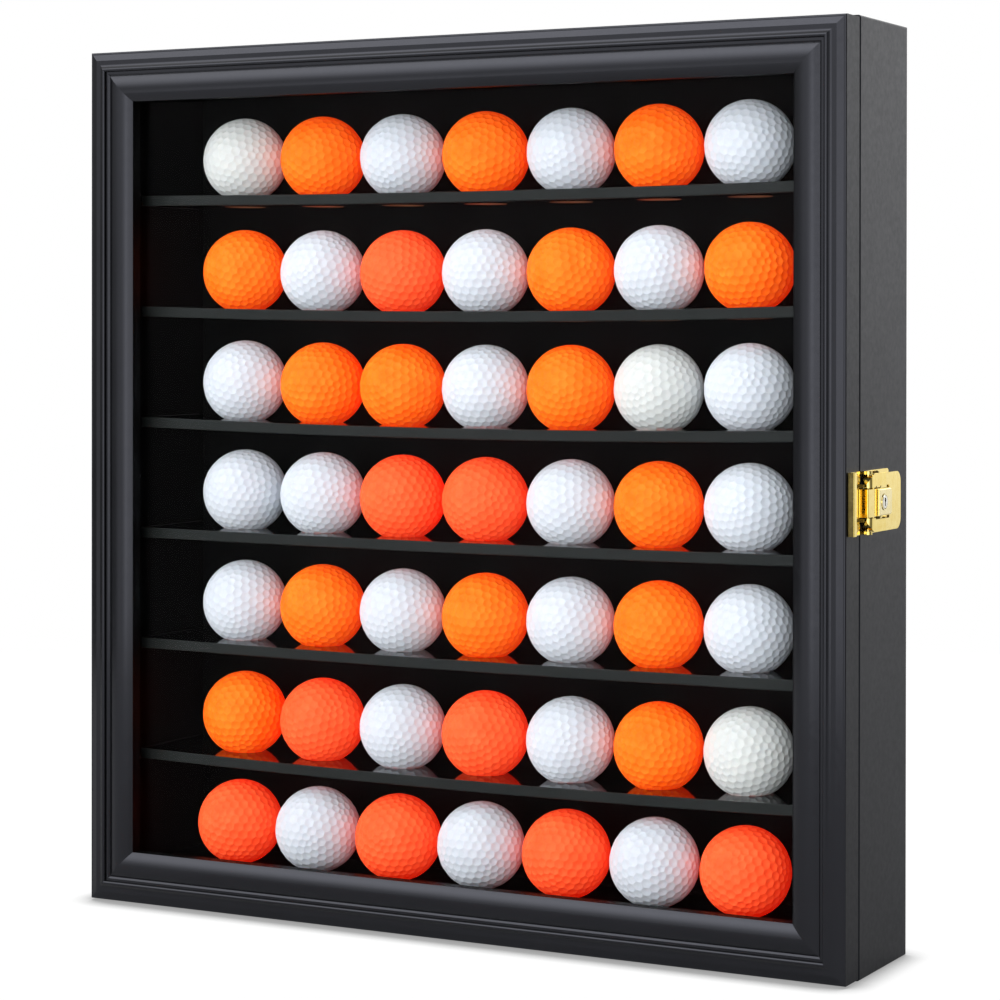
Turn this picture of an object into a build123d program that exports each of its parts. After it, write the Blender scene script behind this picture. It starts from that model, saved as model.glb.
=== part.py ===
from build123d import *
import math
import os

# Golf ball display case, in millimetres. +Z is up and the door faces -Y.
# The origin is the centre of the cabinet's base face.

# ---------------------------------------------------------------- driving dimensions
# Cabinet
case_width = 407.0          # over both side panels
case_height = 430.0
cabinet_depth = 61.0        # front edge of the side panels to their back edge
board = 18.0                # thickness of the sides, top and bottom
back_thickness = 3.0
back_inset = 0.8            # the back panel lies this far inside the back edges
back_rebate = 6.0           # width of the ledge that the back panel sits on
back_fit = 0.3              # slack round the back panel
arris = 1.0                 # rounding of the cabinet's outer edges

# Shelves
shelf_thickness = 5.1
shelf_pitch = 56.25
floor_bay = 52.9            # clear height of the lowest bay
least_top_bay = 44.0        # clear height that the top bay never falls under
shelf_setback = 1.5         # shelf front edge behind the cabinet front
housing_depth = 4.0         # how far a shelf is let into each side
housing_fit = 0.15          # slack round a shelf in its housing

# Balls and their seats
ball_diameter = 42.67
ball_pitch = 46.4
least_side_gap = 4.0        # ball to side panel
seat_hole_diameter = 21.0   # through hole in a shelf
ball_setback = 26.9         # ball centre behind the cabinet front, on the shelves
floor_seat_diameter = 8.0   # blind seat in the bottom panel
floor_seat_depth = 4.0
floor_ball_setback = 22.6   # the lowest row sits a little nearer to the door
seat_clearance = 0.1
ball_colours = ("RWRWRWR", "ORWRWOW", "WOWOWOW", "WWRRWOW",
                "WOOWOWW", "OWRWOWO", "WOWOWOW")   # lowest row first, left to right

# Dowels, nails and dots
dowel_radius = 3.0
dowel_length = 30.0
dowel_spacing = 32.0
dowel_fit = 0.05
nail_radius = 0.7
nail_head_radius = 1.5
nail_head_height = 0.5
back_nail_length = 12.0
back_nails_across = 5
bumper_radius = 4.0
bumper_clearance = 0.1
bumper_inset = 30.0         # from the cabinet's top and bottom

# Door frame. The moulding is drawn with u running in from the outer edge.
door_gap = 1.0              # between the door and the cabinet
door_end_gap = 1.0          # the door is this much shorter at top and bottom
door_thickness = 16.0       # at the outer edge
rail_width = 25.2
edge_round = 0.8
bevel_start = 1.2
bevel_end = 4.2
bevel_rise = 1.1            # rises are measured forward from the outer edge's face
cove_start = 6.3
cove_end = 8.1
cove_rise = 2.25
bead_crest = 8.8
bead_rise = 2.65
bead_end = 9.9
step_rise = 1.1
step_end = 11.3
quirk = 12.1                # the sharp hollow where the dome begins
quirk_rise = 0.5
dome_crest = 18.0
dome_rise = 2.1
lip_drop = 0.75             # the sight edge lies behind the outer edge's face
glass_rebate = 6.5          # width of the rebate behind the lip
glass_seat = 9.0            # rebate depth, from the door's back
spline_across = 14.0
spline_along = 16.0
spline_thickness = 2.4
spline_from_back = 4.0
spline_fit = 0.1

# Pane and its retainers
pane_thickness = 2.0
pane_fit = 0.6              # slack round the pane
retainer_width = 2.8
retainer_height = 3.2
retainer_nail_length = 9.0
retainer_nails_each = 3
retainer_nail_inset = 50.0

# Hinges, on the left side
hinge_length = 38.0
hinge_inset = 80.0          # hinge centre from the case's top and bottom
knuckle_radius = 2.5
knuckle_stand_off = 0.25    # knuckle to wood
hinge_pin_radius = 1.2
pin_clearance = 0.05
leaf_thickness = 1.0
leaf_width = 13.0           # from the pin axis
leaf_relief = 0.6           # room round the other leaf's knuckle
knuckle_gap = 0.2
pin_head_radius = 1.9
pin_head_height = 0.8

# Wood screws
screw_head_radius = 2.1
screw_head_height = 0.9
screw_shank_radius = 1.0
screw_length = 9.0
screw_fit = 0.05
screw_slot_width = 0.5
screw_slot_depth = 0.4
hinge_screw_spacing = 24.0
hinge_screw_from_axis = 8.4

# Keyhole hanger plates, in the back edges of the side panels
hanger_width = 10.4
hanger_height = 34.0
hanger_thickness = 1.4
hanger_fit = 0.05           # slack round a plate in its recess
hanger_top_inset = 40.0     # plate centre below the case's top
keyhole_radius = 3.5
keyhole_slot_width = 3.8
keyhole_slot_rise = 8.0
hanger_screw_spacing = 26.0
hanger_pocket_depth = 7.0
hanger_pocket_margin = 1.0  # pocket in the wood round the keyhole
hanger_screw_head_radius = 1.8
hanger_screw_sunk = 0.3     # screw heads below the plate's face
hanger_side_inset = 6.0     # plate centre from the cabinet's side face

# Draw latch, on the right side. "back" runs from the cabinet front towards +Y,
# "out" runs from the side face towards +X, and heights are about the latch's middle.
latch_drop = 2.0            # latch middle below the case's middle
strike_half_height = 14.1
strike_plate = 1.0
strike_front = 14.2         # front of the strike, ahead of the door's back face
strike_back = 1.4           # rear edge of the strike, ahead of the door's back face
strike_lip_out = 3.2
strike_lip_depth = 3.3
strike_corner = 0.5
strike_ear_out = 3.1
strike_ear_from = 6.8
strike_ear_to = 8.4
strike_screw_height = 10.8
strike_screw_ahead = 6.6    # ahead of the door's back face
base_half_height = 14.1
base_plate = 1.0
base_start = 4.4            # back
base_end = 34.0             # back
base_corner = 2.0
base_ear_thickness = 1.4
base_ear_radius = 1.9
base_ear_foot = 3.0         # how far an ear's foot runs back along the plate
base_screw_height = 9.5
base_screw_backs = (9.0, 29.0)
base_screw_head_height = 0.8
lever_axis_back = 2.2
lever_axis_out = 3.1
lever_pin_radius = 0.75
lever_barrel_radius = 2.4
lever_half_height = 13.0
lever_end_clearance = 0.3   # lever barrels to the base plate's ears
lever_sheet = 1.2
lever_bend_back = 15.9
lever_back = 35.0
lever_out = 6.4
lever_corner = 5.0
window_half_height = 6.8
window_end_back = 6.2
slot_width = 1.3
slot_end_back = 20.2
hook_half_height = 6.2
hook_sheet = 1.0
hook_pivot_back = 4.5
hook_pivot_out = 4.65
hook_pin_radius = 0.55
hook_knuckle_radius = 1.15
hook_boss_radius = 1.0
hook_boss_height = 1.8
hook_nose_ahead = 4.4       # ahead of the cabinet front
hook_nose_gap = 0.25        # between the nose and the strike plate
hook_nose_sheet = 1.2
hook_corner = 0.5
pad_half_height = 5.9
pad_start_back = 6.3
pad_end_back = 22.2
pad_rise = 0.7
pad_corner = 2.0
lock_back = 12.5
lock_radius = 3.1
lock_proud = 0.4
lock_face_bevel = 0.3
lock_rim_rise = 0.3
lock_barrel_wall = 1.3
lock_barrel_end_out = 4.3
keyway_width = 1.0
keyway_height = 3.6
keyway_depth = 2.5
cam_out = 1.7
cam_thickness = 0.9
cam_length = 5.6
cam_half_width = 1.3
keeper_clearance = 0.5
keeper_half_width = 2.0

# ---------------------------------------------------------------- derived places
half_width = case_width / 2
inner_half_width = half_width - board
inner_top = case_height - board
cabinet_front = -cabinet_depth / 2
cabinet_back = cabinet_depth / 2
back_panel_front = cabinet_back - back_inset - back_thickness
shelf_front = cabinet_front + shelf_setback

ball_radius = ball_diameter / 2
seat_radius = seat_hole_diameter / 2
shelf_count = 1 + int((inner_top - board - floor_bay - shelf_thickness - least_top_bay) / shelf_pitch)
column_count = 1 + int((2 * (inner_half_width - ball_radius - least_side_gap)) / ball_pitch)
shelf_tops = [board + floor_bay + shelf_thickness + i * shelf_pitch for i in range(shelf_count)]
column_xs = [(i - (column_count - 1) / 2) * ball_pitch for i in range(column_count)]
ball_line = cabinet_front + ball_setback
floor_ball_line = cabinet_front + floor_ball_setback

door_back = cabinet_front - door_gap
door_low = door_end_gap
door_high = case_height - door_end_gap
door_height = door_high - door_low
door_middle = (door_low + door_high) / 2

hinge_x = -half_width - knuckle_radius - knuckle_stand_off
hinge_y = (cabinet_front + door_back) / 2
hinge_heights = {"upper": case_height - hinge_inset, "lower": hinge_inset}

latch_height = case_height / 2 - latch_drop
lever_axis = (half_width + lever_axis_out, cabinet_front + lever_axis_back)
hook_axis = (half_width + hook_pivot_out, cabinet_front + hook_pivot_back)
lock_centre = (half_width, cabinet_front + lock_back, latch_height)


# ---------------------------------------------------------------- helpers
def block(x, y, z):
    """A box between two limits on each axis."""
    size = [high - low for low, high in (x, y, z)]
    middle = [(high + low) / 2 for low, high in (x, y, z)]
    return Pos(*middle) * Box(*size)


def rod(start, direction, radius, length):
    """A cylinder from a start point along a direction."""
    return Plane(origin=start, z_dir=direction).location * Cylinder(
        radius, length, align=(Align.CENTER, Align.CENTER, Align.MIN))


def upright_rod(centre, radius, low, high):
    """A cylinder along Z between two heights."""
    return rod((centre[0], centre[1], low), (0, 0, 1), radius, high - low)


def slab(outline, low, high):
    """A level outline of (x, y) points, raised from one height to another."""
    face = make_face(Polyline(*outline, close=True).edges())
    return Pos(0, 0, low) * extrude(face, high - low, dir=(0, 0, 1))


def screw(seat, outward, head_radius=screw_head_radius, head_height=screw_head_height,
          length=screw_length):
    """A slotted screw whose head sits on the seat point and whose shank goes in."""
    centred = (Align.CENTER, Align.CENTER, Align.MIN)
    head = Cylinder(head_radius, head_height, align=centred)
    head = chamfer(head.edges().sort_by(Axis.Z)[-1:], head_height / 3)
    head -= Pos(0, 0, head_height) * Box(3 * head_radius, screw_slot_width, 2 * screw_slot_depth)
    shank = Pos(0, 0, -length) * Cylinder(screw_shank_radius, length, align=centred)
    return Plane(origin=seat, z_dir=outward).location * (head + shank)


def pilot(seat, outward, length=screw_length):
    """The hole that a screw's shank runs in."""
    inward = [-part for part in outward]
    start = [place + screw_head_height * part for place, part in zip(seat, outward)]
    return rod(start, inward, screw_shank_radius + screw_fit, length + screw_head_height + screw_fit)


def nail(seat, outward, length):
    """A plain nail with a flat head on the seat point."""
    inward = [-part for part in outward]
    return rod(seat, outward, nail_head_radius, nail_head_height) + rod(seat, inward, nail_radius, length)


def nail_hole(seat, outward, length):
    inward = [-part for part in outward]
    return rod(seat, inward, nail_radius + screw_fit, length + screw_fit)


def group(pieces):
    """Several separate solids in one node."""
    return Compound(children=[solid for piece in pieces for solid in piece.solids()])


def spread(low, high, count):
    """Evenly spaced places from low to high."""
    return [low + (high - low) * i / (count - 1) for i in range(count)]


# ---------------------------------------------------------------- cabinet
def dowel_seats():
    """Start point of each corner dowel, inside a side panel, and its direction."""
    inside_side = dowel_length * 0.4
    seats = []
    for side in (-1, 1):
        for height in (board / 2, case_height - board / 2):
            for y in (-dowel_spacing / 2, dowel_spacing / 2):
                start = (side * (inner_half_width + inside_side), y, height)
                seats.append((start, (-side, 0, 0)))
    return seats


def corner_dowels():
    return group([rod(start, direction, dowel_radius, dowel_length)
                  for start, direction in dowel_seats()])


def dowel_holes():
    holes = []
    for (x, y, z), direction in dowel_seats():
        start = (x - direction[0] * dowel_fit, y, z)
        holes.append(rod(start, direction, dowel_radius + dowel_fit, dowel_length + 2 * dowel_fit))
    return holes


def back_recess():
    """The rebate round the back of the cabinet that the back panel lies in."""
    side = inner_half_width + back_rebate
    return block((-side, side), (back_panel_front, cabinet_back + 1),
                 (board - back_rebate, inner_top + back_rebate))


def back_nail_seats():
    """Nails through the back panel into the rebate's ledge, up the sides between shelves."""
    side = inner_half_width + back_rebate / 2
    margin = 2 * board
    seats = [(x, z) for x in spread(margin - side, side - margin, back_nails_across)
             for z in (board - back_rebate / 2, inner_top + back_rebate / 2)]
    seats += [(x, top + (shelf_pitch - shelf_thickness) / 2) for x in (-side, side)
              for top in shelf_tops[:-1]]
    return [(x, cabinet_back - back_inset, z) for x, z in seats]


def back_panel():
    side = inner_half_width + back_rebate - back_fit
    panel = block((-side, side), (back_panel_front, cabinet_back - back_inset),
                  (board - back_rebate + back_fit, inner_top + back_rebate - back_fit))
    for seat in back_nail_seats():
        panel -= nail_hole(seat, (0, 1, 0), back_nail_length)
    return panel


def back_panel_nails():
    return group([nail(seat, (0, 1, 0), back_nail_length) for seat in back_nail_seats()])


def shelf_housing(top):
    """The groove that a shelf slides into from the back, across both sides."""
    side = inner_half_width + housing_depth
    return block((-side, side), (shelf_front - housing_fit, back_panel_front),
                 (top - shelf_thickness - housing_fit, top + housing_fit))


def shelf(top):
    side = inner_half_width + housing_depth - housing_fit
    plate = block((-side, side), (shelf_front, back_panel_front), (top - shelf_thickness, top))
    for x in column_xs:
        plate -= upright_rod((x, ball_line), seat_radius, top - 2 * shelf_thickness, top + 1)
    return plate


def hanger_centres():
    height = case_height - hanger_top_inset
    return [(side * (half_width - hanger_side_inset), height) for side in (-1, 1)]


def hanger_outline(x, z, slack, depth):
    return block((x - hanger_width / 2 - slack, x + hanger_width / 2 + slack),
                 (cabinet_back - depth, cabinet_back + slack),
                 (z - hanger_height / 2 - slack, z + hanger_height / 2 + slack))


def hanger_screw_seats(x, z):
    return [(x, cabinet_back - hanger_thickness, z + side * hanger_screw_spacing / 2)
            for side in (-1, 1)]


def keyhole(x, z, radius, slot_width, depth):
    """A round entry below with a narrow slot above it, cut in from the back."""
    start = (x, cabinet_back + 1, z)
    hole = rod(start, (0, -1, 0), radius, depth + 1)
    hole += block((x - slot_width / 2, x + slot_width / 2),
                  (cabinet_back - depth, cabinet_back + 1), (z, z + keyhole_slot_rise))
    return hole


def hanger_plates():
    plates = []
    for x, z in hanger_centres():
        plate = hanger_outline(x, z, -hanger_fit, hanger_thickness)
        plate -= keyhole(x, z, keyhole_radius, keyhole_slot_width, hanger_thickness)
        for seat in hanger_screw_seats(x, z):
            plate -= rod((seat[0], cabinet_back + 1, seat[2]), (0, -1, 0),
                         hanger_screw_head_radius + screw_fit, hanger_thickness + 1)
        plates.append(plate)
    return group(plates)


def hanger_screws():
    screws = []
    for x, z in hanger_centres():
        for seat in hanger_screw_seats(x, z):
            screws.append(screw(seat, (0, 1, 0), hanger_screw_head_radius,
                                hanger_thickness - hanger_screw_sunk))
    return group(screws)


def side_panel(side):
    """side is -1 for the left panel and 1 for the right."""
    panel = block(sorted((side * inner_half_width, side * half_width)),
                  (cabinet_front, cabinet_back), (0, case_height))
    outer = panel.faces().sort_by(Axis.X)[-1 if side > 0 else 0]
    panel = fillet(outer.edges(), arris)
    panel -= back_recess()
    for top in shelf_tops:
        panel -= shelf_housing(top)
    for hole in dowel_holes():
        panel -= hole
    for seat in back_nail_seats():
        panel -= nail_hole(seat, (0, 1, 0), back_nail_length)
    x, z = hanger_centres()[0 if side < 0 else 1]
    panel -= hanger_outline(x, z, 0, hanger_thickness)
    panel -= keyhole(x, z, keyhole_radius + hanger_pocket_margin, 2 * keyhole_radius, hanger_pocket_depth)
    for seat in hanger_screw_seats(x, z):
        panel -= pilot(seat, (0, 1, 0))
    if side < 0:
        for seat in hinge_screw_seats("cabinet"):
            panel -= pilot(seat, (-1, 0, 0))
    else:
        for seat in base_screw_seats():
            panel -= pilot(seat, (1, 0, 0))
    return panel


def level_panel(low, seats=False):
    """The top or the bottom board, between the sides."""
    panel = block((-inner_half_width, inner_half_width), (cabinet_front, cabinet_back),
                  (low, low + board))
    outer = panel.faces().sort_by(Axis.Z)[0 if seats else -1]
    panel = fillet(outer.edges().filter_by(Axis.X), arris)
    panel -= back_recess()
    for hole in dowel_holes():
        panel -= hole
    for seat in back_nail_seats():
        panel -= nail_hole(seat, (0, 1, 0), back_nail_length)
    if seats:
        for x in column_xs:
            panel -= upright_rod((x, floor_ball_line), floor_seat_diameter / 2,
                                 board - floor_seat_depth, board + 1)
    return panel


def golf_balls(colour):
    balls = []
    for row in range(shelf_count + 1):
        if row == 0:
            y = floor_ball_line
            floor = board
            hole_radius = floor_seat_diameter / 2
        else:
            y = ball_line
            floor = shelf_tops[row - 1]
            hole_radius = seat_radius
        height = math.sqrt(ball_radius ** 2 - hole_radius ** 2) + seat_clearance
        colours = ball_colours[row % len(ball_colours)]
        for column, x in enumerate(column_xs):
            if colours[column % len(colours)] == colour:
                balls.append(Pos(x, y, floor + height) * Sphere(ball_radius))
    return group(balls)


def door_bumpers():
    x = half_width - board / 2
    return group([rod((x, cabinet_front, z), (0, -1, 0), bumper_radius, door_gap - bumper_clearance)
                  for z in (bumper_inset, case_height - bumper_inset)])


# ---------------------------------------------------------------- door
def moulding_face():
    """The frame's section: u runs in from the outer edge, v runs forward from the back."""
    face_v = door_thickness
    lip_v = door_thickness - lip_drop
    rebate_u = rail_width - glass_rebate
    lines = [
        Line((0, 0), (0, face_v - edge_round)),
        CenterArc((edge_round, face_v - edge_round), edge_round, 180, -90),
        Line((edge_round, face_v), (bevel_start, face_v)),
        Line((bevel_start, face_v), (bevel_end, face_v + bevel_rise)),
        Line((bevel_end, face_v + bevel_rise), (cove_start, face_v + bevel_rise)),
        Spline((cove_start, face_v + bevel_rise), (cove_end, face_v + cove_rise),
               tangents=((1, 0), (1, 1))),
        ThreePointArc((cove_end, face_v + cove_rise), (bead_crest, face_v + bead_rise),
                      (bead_end, face_v + step_rise)),
        Line((bead_end, face_v + step_rise), (step_end, face_v + step_rise)),
        Line((step_end, face_v + step_rise), (quirk, face_v + quirk_rise)),
        ThreePointArc((quirk, face_v + quirk_rise), (dome_crest, face_v + dome_rise),
                      (rail_width, lip_v)),
        Polyline((rail_width, lip_v), (rail_width, glass_seat), (rebate_u, glass_seat),
                 (rebate_u, 0), (0, 0)),
    ]
    return make_face([edge for line in lines for edge in line.edges()])


def frame_bar(length):
    """A length of moulding, mitred at both ends, with its outer edge at u = 0."""
    bar = Pos(0, 0, -length / 2) * extrude(moulding_face(), length, dir=(0, 0, 1))
    deep = door_thickness + bead_rise + 1
    outline = [(0, -length / 2), (0, length / 2), (rail_width, length / 2 - rail_width),
               (rail_width, rail_width - length / 2)]
    face = make_face(Polyline(*[(u, 0, along) for u, along in outline], close=True).edges())
    return bar & extrude(face, deep, dir=(0, 1, 0))


def frame_places():
    """Where each bar of the door frame lies: its length and its plane."""
    return {
        "door_left_stile": (door_height, Plane(
            origin=(-half_width, door_back, door_middle), x_dir=(1, 0, 0), z_dir=(0, 0, -1))),
        "door_right_stile": (door_height, Plane(
            origin=(half_width, door_back, door_middle), x_dir=(-1, 0, 0), z_dir=(0, 0, 1))),
        "door_bottom_rail": (case_width, Plane(
            origin=(0, door_back, door_low), x_dir=(0, 0, 1), z_dir=(1, 0, 0))),
        "door_top_rail": (case_width, Plane(
            origin=(0, door_back, door_high), x_dir=(0, 0, -1), z_dir=(-1, 0, 0))),
    }


def mitre_spline(side_x, side_z, slack):
    """A flat key across one mitre; side_x and side_z are -1 or 1."""
    reach = (rail_width - glass_rebate) / 2
    x = side_x * (half_width - reach)
    z = (door_low if side_z < 0 else door_high) - side_z * reach
    y = door_back - spline_from_back
    turn = 45 * side_x * side_z
    key = Box(spline_across + 2 * slack, spline_thickness + 2 * slack, spline_along / 2 + 2 * slack)
    return Pos(x, y, z) * Rot(0, turn, 0) * key


def mitre_corners():
    return [(side_x, side_z) for side_x in (-1, 1) for side_z in (-1, 1)]


def mitre_splines():
    return group([mitre_spline(x, z, 0) for x, z in mitre_corners()])


def retainer_places():
    """The strips behind the pane: name, centre and size of each."""
    sight_x = half_width - rail_width
    sight_low = door_low + rail_width
    sight_high = door_high - rail_width
    back = door_back - glass_seat + pane_thickness + retainer_height
    y = (back - retainer_height, back)
    outer = glass_rebate
    inner = glass_rebate - retainer_width
    wide = (-sight_x - outer, sight_x + outer)
    between = (sight_low - inner, sight_high + inner)
    return {
        "pane_retainer_bottom": (wide, y, (sight_low - outer, sight_low - inner)),
        "pane_retainer_top": (wide, y, (sight_high + inner, sight_high + outer)),
        "pane_retainer_left": ((-sight_x - outer, -sight_x - inner), y, between),
        "pane_retainer_right": ((sight_x + inner, sight_x + outer), y, between),
    }


def retainer_nail_seats():
    """Each retainer nail's seat on the strip's inner face, and its outward direction."""
    places = retainer_places()
    seats = []
    for name, direction in (("pane_retainer_left", (1, 0, 0)), ("pane_retainer_right", (-1, 0, 0))):
        x, y, z = places[name]
        face = x[1] if direction[0] > 0 else x[0]
        for along in spread(z[0] + retainer_nail_inset, z[1] - retainer_nail_inset, retainer_nails_each):
            seats.append(((face, (y[0] + y[1]) / 2, along), direction))
    for name, direction in (("pane_retainer_bottom", (0, 0, 1)), ("pane_retainer_top", (0, 0, -1))):
        x, y, z = places[name]
        face = z[1] if direction[2] > 0 else z[0]
        for along in spread(x[0] + retainer_nail_inset, x[1] - retainer_nail_inset, retainer_nails_each):
            seats.append(((along, (y[0] + y[1]) / 2, face), direction))
    return seats


def pane_retainer(name):
    strip = block(*retainer_places()[name])
    for seat, outward in retainer_nail_seats():
        strip -= nail_hole(seat, outward, retainer_nail_length)
    return strip


def retainer_nails():
    return group([nail(seat, outward, retainer_nail_length) for seat, outward in retainer_nail_seats()])


def acrylic_pane():
    side = half_width - rail_width + glass_rebate - pane_fit
    front = door_back - glass_seat
    return block((-side, side), (front, front + pane_thickness),
                 (door_low + rail_width - glass_rebate + pane_fit,
                  door_high - rail_width + glass_rebate - pane_fit))


def door_bar(name):
    length, plane = frame_places()[name]
    bar = plane.location * frame_bar(length)
    for corner in mitre_corners():
        bar -= mitre_spline(*corner, spline_fit)
    for seat, outward in retainer_nail_seats():
        bar -= nail_hole(seat, outward, retainer_nail_length)
    if name == "door_left_stile":
        for seat in hinge_screw_seats("door"):
            bar -= pilot(seat, (-1, 0, 0))
    if name == "door_right_stile":
        for seat in strike_screw_seats():
            bar -= pilot(seat, (1, 0, 0))
    return bar


# ---------------------------------------------------------------- hinges
def hinge_screw_seats(leaf, heights=None):
    """Seats on a leaf's outer face; leaf is "cabinet" or "door"."""
    direction = 1 if leaf == "cabinet" else -1
    y = hinge_y + direction * hinge_screw_from_axis
    middles = hinge_heights.values() if heights is None else heights
    return [(-half_width - leaf_thickness, y, middle + side * hinge_screw_spacing / 2)
            for middle in middles for side in (-1, 1)]


def knuckle_spans(middle):
    """Heights of the hinge's three knuckles, from the lowest up."""
    step = hinge_length / 3
    low = middle - hinge_length / 2
    return [(low + i * step + knuckle_gap / 2, low + (i + 1) * step - knuckle_gap / 2)
            for i in range(3)]


def hinge_leaf(leaf, middle):
    """A plate on the side face with its knuckles rolled round the pin."""
    direction = 1 if leaf == "cabinet" else -1
    spans = knuckle_spans(middle)
    own = [spans[0], spans[2]] if leaf == "cabinet" else [spans[1]]
    other = [span for span in spans if span not in own]
    plate = block((-half_width - leaf_thickness, -half_width),
                  sorted((hinge_y + direction * door_gap / 2, hinge_y + direction * leaf_width)),
                  (middle - hinge_length / 2, middle + hinge_length / 2))
    for low, high in own:
        plate += upright_rod((hinge_x, hinge_y), knuckle_radius, low, high)
    for low, high in other:
        plate -= upright_rod((hinge_x, hinge_y), knuckle_radius + leaf_relief,
                             low - knuckle_gap, high + knuckle_gap)
    plate -= upright_rod((hinge_x, hinge_y), hinge_pin_radius + pin_clearance,
                         middle - hinge_length, middle + hinge_length)
    for seat in hinge_screw_seats(leaf, [middle]):
        plate -= pilot(seat, (-1, 0, 0))
    return plate


def hinge_pin(middle):
    low = middle - hinge_length / 2 + knuckle_gap / 2
    high = middle + hinge_length / 2 - knuckle_gap / 2
    pin = upright_rod((hinge_x, hinge_y), hinge_pin_radius, low, high)
    pin += upright_rod((hinge_x, hinge_y), pin_head_radius, high, high + pin_head_height)
    pin += upright_rod((hinge_x, hinge_y), pin_head_radius, low - pin_head_height, low)
    return pin


def hinge_screws(leaf):
    return group([screw(seat, (-1, 0, 0)) for seat in hinge_screw_seats(leaf)])


# ---------------------------------------------------------------- latch
def out(distance):
    return half_width + distance


def back(distance):
    return cabinet_front + distance


def strike_screw_seats():
    return [(out(strike_plate), door_back - strike_screw_ahead, latch_height + side * strike_screw_height)
            for side in (-1, 1)]


def latch_strike():
    """A plate on the door's side with a turned lip in front and two ears behind."""
    front = door_back - strike_front
    rear = door_back - strike_back
    low = latch_height - strike_half_height
    high = latch_height + strike_half_height
    inner = strike_lip_out - strike_plate
    outline = [(half_width, front), (out(strike_lip_out), front),
               (out(strike_lip_out), front + strike_lip_depth), (out(inner), front + strike_lip_depth),
               (out(inner), front + strike_plate), (out(strike_plate), front + strike_plate),
               (out(strike_plate), rear), (half_width, rear)]
    strike = slab(outline, low, high)
    front_edges = strike.edges().filter_by(Axis.Z).group_by(Axis.Y)[0]
    strike = fillet(front_edges, strike_corner)
    for side in (-1, 1):
        heights = sorted((latch_height + side * strike_ear_from, latch_height + side * strike_ear_to))
        strike += block((half_width, out(strike_ear_out)), (rear - strike_plate, rear), heights)
    for seat in strike_screw_seats():
        strike -= pilot(seat, (1, 0, 0))
    return strike


def base_screw_seats():
    return [(out(base_plate), back(place), latch_height + side * base_screw_height)
            for place in base_screw_backs for side in (-1, 1)]


def latch_base_plate():
    """A plate on the cabinet's side, with two ears for the lever's pin and a lock keeper."""
    plate = block((half_width, out(base_plate)), (back(base_start), back(base_end)),
                  (latch_height - base_half_height, latch_height + base_half_height))
    plate = fillet(plate.edges().filter_by(Axis.X), base_corner)
    for side in (-1, 1):
        heights = sorted((latch_height + side * (base_half_height - base_ear_thickness),
                          latch_height + side * base_half_height))
        ear = upright_rod(lever_axis, base_ear_radius, *heights)
        ear += block((half_width, out(lever_axis_out)),
                     (lever_axis[1] - base_ear_radius, lever_axis[1] + base_ear_radius), heights)
        ear += block((half_width, out(base_plate)), (lever_axis[1], back(base_start + base_ear_foot)),
                     heights)
        plate += ear
    plate -= upright_rod(lever_axis, lever_pin_radius + pin_clearance, 0, case_height)
    inner = cam_out + cam_thickness + keeper_clearance
    foot = lock_radius + keeper_clearance
    keeper_top = math.hypot(cam_length, cam_half_width) + keeper_clearance
    y = (back(lock_back - keeper_half_width), back(lock_back + keeper_half_width))
    plate += block((out(0), out(inner + base_plate)), y,
                   (latch_height + keeper_top, latch_height + keeper_top + base_plate))
    plate += block((out(inner), out(inner + base_plate)), y,
                   (latch_height + foot, latch_height + keeper_top + base_plate))
    for seat in base_screw_seats():
        plate -= pilot(seat, (1, 0, 0))
    return plate


def lever_face(distance):
    """How far out the lever's outer face lies at a distance back, in front of its bend."""
    slope = (lever_out - lever_axis_out - lever_barrel_radius) / (lever_bend_back - lever_axis_back)
    return lever_out - slope * max(lever_bend_back - distance, 0)


def latch_lever():
    """The brass lever: two rolled barrels in front, a window for the hook, a bent plate."""
    barrel_top = lever_axis_out + lever_barrel_radius
    outline = [(out(barrel_top - lever_sheet), lever_axis[1]), (out(barrel_top), lever_axis[1]),
               (out(lever_out), back(lever_bend_back)), (out(lever_out), back(lever_back)),
               (out(lever_out - lever_sheet), back(lever_back)),
               (out(lever_out - lever_sheet), back(lever_bend_back))]
    low = latch_height - lever_half_height
    high = latch_height + lever_half_height
    barrel_reach = base_half_height - base_ear_thickness - lever_end_clearance
    lever = slab(outline, low, high)
    lever += upright_rod(lever_axis, lever_barrel_radius, latch_height - barrel_reach,
                         latch_height + barrel_reach)
    rounded = block((half_width, out(2 * lever_out)),
                    (lever_axis[1] - lever_barrel_radius, back(lever_back)), (low, high))
    lever &= fillet(rounded.edges().filter_by(Axis.X), lever_corner)
    window = (latch_height - window_half_height, latch_height + window_half_height)
    lever -= block((half_width, out(2 * lever_out)), (back(-2 * lever_axis_back), back(window_end_back)),
                   window)
    slot_inner = window_half_height - slot_width / 2
    slot_outer = window_half_height + slot_width / 2
    for side in (-1, 1):
        lever -= block((out(barrel_top - 2 * lever_sheet), out(2 * lever_out)),
                       (back(window_end_back - 1), back(slot_end_back)),
                       sorted(latch_height + side * edge for edge in (slot_inner, slot_outer)))
        boss = sorted(latch_height + side * edge for edge in (slot_outer, slot_outer + hook_boss_height))
        lever += upright_rod(hook_axis, hook_boss_radius, *boss)
        ear = sorted(latch_height + side * edge for edge in (barrel_reach, lever_half_height + 1))
        lever -= upright_rod(lever_axis, base_ear_radius + lever_end_clearance, *ear)
    lever -= upright_rod(lever_axis, lever_pin_radius + pin_clearance, low - 1, high + 1)
    lever -= upright_rod(hook_axis, hook_pin_radius + pin_clearance,
                         latch_height - slot_outer - hook_boss_height,
                         latch_height + slot_outer + hook_boss_height)
    lever -= rod(lock_centre, (1, 0, 0), lock_radius + lock_barrel_wall + 2 * pin_clearance, 2 * lever_out)
    return lever


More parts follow.
